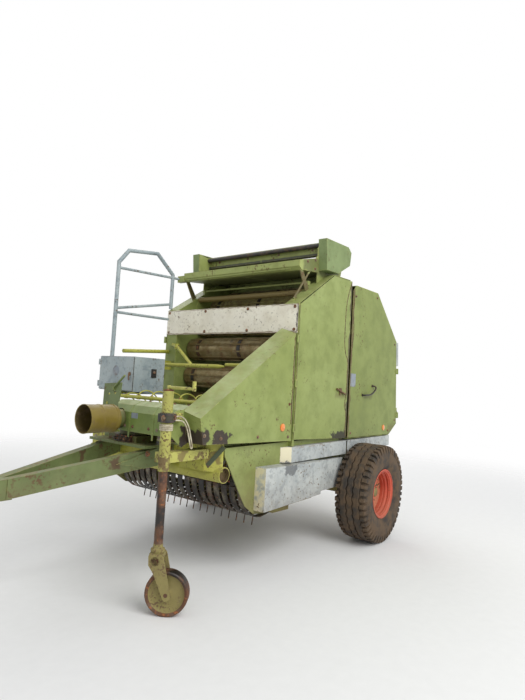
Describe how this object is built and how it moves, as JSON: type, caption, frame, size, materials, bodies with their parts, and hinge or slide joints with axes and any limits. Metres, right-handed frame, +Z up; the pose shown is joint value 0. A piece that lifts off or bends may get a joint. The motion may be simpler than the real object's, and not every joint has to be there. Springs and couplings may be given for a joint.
{
  "type": "towed round baler",
  "caption": "Towed fixed-chamber round baler with a lifting tailgate, tined pickup, net wrap unit, twine box, drawbar and parking jack.",
  "frame": {"origin": "middle of the overall length and width, on the ground", "axes": "+X forward, the way it is towed; +Y to its left; +Z up"},
  "size_m": [4.1, 2.1, 2.591],
  "materials": {
    "panel_green": "weathered",
    "frame_green": "worn",
    "guard_white": "weathered",
    "guard_mustard": "faded",
    "worn_steel": "rusty",
    "band_steel": "rusty",
    "gear_iron": "greasy",
    "hose_rubber": "worn",
    "tyre": "muddy",
    "rim_orange": "weathered",
    "cylinder_paint": "worn",
    "rod_chrome": "polished",
    "lamp_plastic": "clear"
  },
  "bodies": {
    "chassis": {"side_frame_left": "panel_green", "side_frame_right": "panel_green", "cross_members": "frame_green", "axle_beam": "frame_green", "drawbar": "frame_green", "towing_eye": "worn_steel", "front_board": "guard_white", "nose_cover": "panel_green", "net_unit": "frame_green", "net_end_covers": "panel_green", "front_rollers": "worn_steel", "gearbox": "gear_iron", "gearbox_hood": "frame_green", "pto_guard": "guard_mustard", "twine_box": "guard_white", "guard_rail": "guard_white", "windguard": "frame_green", "hose_bracket": "frame_green", "tying_bar": "frame_green", "jack_sleeve": "frame_green", "lower_guards": "guard_white", "upper_guards": "guard_white", "front_chain": "worn_steel", "seam_hose": "hose_rubber"},
    "pto_input": {"pto_shaft": "worn_steel"},
    "twine_door": {"twine_box_door": "guard_white"},
    "jack_foot": {"jack_leg": "worn_steel"},
    "jack_roller": {"jack_wheel": "frame_green"},
    "pickup": {"pickup_frame": "frame_green", "pickup_bands": "band_steel"},
    "reel": {"pickup_reel": "worn_steel"},
    "wheel_left": {"tyre_left": "tyre", "rim_left": "rim_orange"},
    "wheel_right": {"tyre_right": "tyre", "rim_right": "rim_orange"},
    "tailgate": {"gate_side_left": "panel_green", "gate_side_right": "panel_green", "gate_bars": "frame_green", "gate_rollers": "worn_steel", "gate_strips": "guard_white", "gate_chain": "worn_steel", "lamps": "lamp_plastic"},
    "front_cover_left": {"front_door_left": "panel_green"},
    "front_cover_right": {"front_door_right": "panel_green"},
    "gate_cover_left": {"gate_door_left": "panel_green"},
    "gate_cover_right": {"gate_door_right": "panel_green"},
    "gate_barrel_left": {"barrel_left": "cylinder_paint"},
    "gate_barrel_right": {"barrel_right": "cylinder_paint"},
    "gate_rod_left": {"rod_left": "rod_chrome"},
    "gate_rod_right": {"rod_right": "rod_chrome"}
  },
  "joints": [
    {"name": "wheel_left_spin", "type": "hinge", "parent": "chassis", "child": "wheel_left", "pos_m": [-1.065, 0.905, 0.4225], "axis": [0, 1, 0], "continuous": true},
    {"name": "wheel_right_spin", "type": "hinge", "parent": "chassis", "child": "wheel_right", "pos_m": [-1.065, -0.905, 0.4225], "axis": [0, 1, 0], "continuous": true},
    {"name": "pto_spin", "type": "hinge", "parent": "chassis", "child": "pto_input", "pos_m": [1.135, 0, 1.045], "axis": [1, 0, 0], "continuous": true},
    {"name": "tailgate_lift", "type": "hinge", "parent": "chassis", "child": "tailgate", "pos_m": [-0.88, 0, 2.3], "axis": [0, 1, 0], "range_deg": [0, 70]},
    {"name": "front_cover_left_swing", "type": "hinge", "parent": "chassis", "child": "front_cover_left", "pos_m": [0.005, 0.745, 1.35], "axis": [0, 0, -1], "range_deg": [0, 90]},
    {"name": "front_cover_right_swing", "type": "hinge", "parent": "chassis", "child": "front_cover_right", "pos_m": [0.005, -0.745, 1.35], "axis": [0, 0, 1], "range_deg": [0, 88]},
    {"name": "gate_cover_left_swing", "type": "hinge", "parent": "tailgate", "child": "gate_cover_left", "pos_m": [-2.029, 0.745, 0.983], "axis": [0.0844, 0, 0.9964], "range_deg": [0, 90]},
    {"name": "gate_cover_right_swing", "type": "hinge", "parent": "tailgate", "child": "gate_cover_right", "pos_m": [-2.029, -0.745, 0.983], "axis": [-0.0844, 0, -0.9964], "range_deg": [0, 90]},
    {"name": "barrel_left_pivot", "type": "hinge", "parent": "chassis", "child": "gate_barrel_left", "pos_m": [-0.715, 0.675, 1.05], "axis": [0, 1, 0], "range_deg": [-0.2, 15.6]},
    {"name": "barrel_right_pivot", "type": "hinge", "parent": "chassis", "child": "gate_barrel_right", "pos_m": [-0.715, -0.675, 1.05], "axis": [0, 1, 0], "range_deg": [-0.2, 15.6]},
    {"name": "rod_left_slide", "type": "slide", "parent": "gate_barrel_left", "child": "gate_rod_left", "axis": [-0.6139, 0, 0.7894], "range_m": [0, 0.632]},
    {"name": "rod_right_slide", "type": "slide", "parent": "gate_barrel_right", "child": "gate_rod_right", "axis": [-0.6139, 0, 0.7894], "range_m": [0, 0.632]},
    {"name": "pickup_lift", "type": "hinge", "parent": "chassis", "child": "pickup", "pos_m": [-0.325, 0, 0.8], "axis": [0, 1, 0], "range_deg": [0, 33]},
    {"name": "reel_spin", "type": "hinge", "parent": "pickup", "child": "reel", "pos_m": [0.235, 0, 0.6], "axis": [0, 1, 0], "continuous": true},
    {"name": "jack_slide", "type": "slide", "parent": "chassis", "child": "jack_foot", "axis": [0, 0, 1], "range_m": [0, 0.33]},
    {"name": "jack_wheel_spin", "type": "hinge", "parent": "jack_foot", "child": "jack_roller", "pos_m": [1.14485, 0.69734, 0.125], "axis": [-0.8192, -0.5736, 0], "continuous": true},
    {"name": "twine_door_swing", "type": "hinge", "parent": "chassis", "child": "twine_door", "pos_m": [0.639, -0.829, 1.35], "axis": [0, 0, 1], "range_deg": [-110, 0]}
  ],
  "couplings": [
    {"joint": "barrel_left_pivot", "follows": "tailgate_lift", "ratio": 0.21945},
    {"joint": "barrel_right_pivot", "follows": "tailgate_lift", "ratio": 0.21945},
    {"joint": "rod_left_slide", "follows": "tailgate_lift", "m_per_rad": 0.51368},
    {"joint": "rod_right_slide", "follows": "tailgate_lift", "m_per_rad": 0.51368}
  ]
}
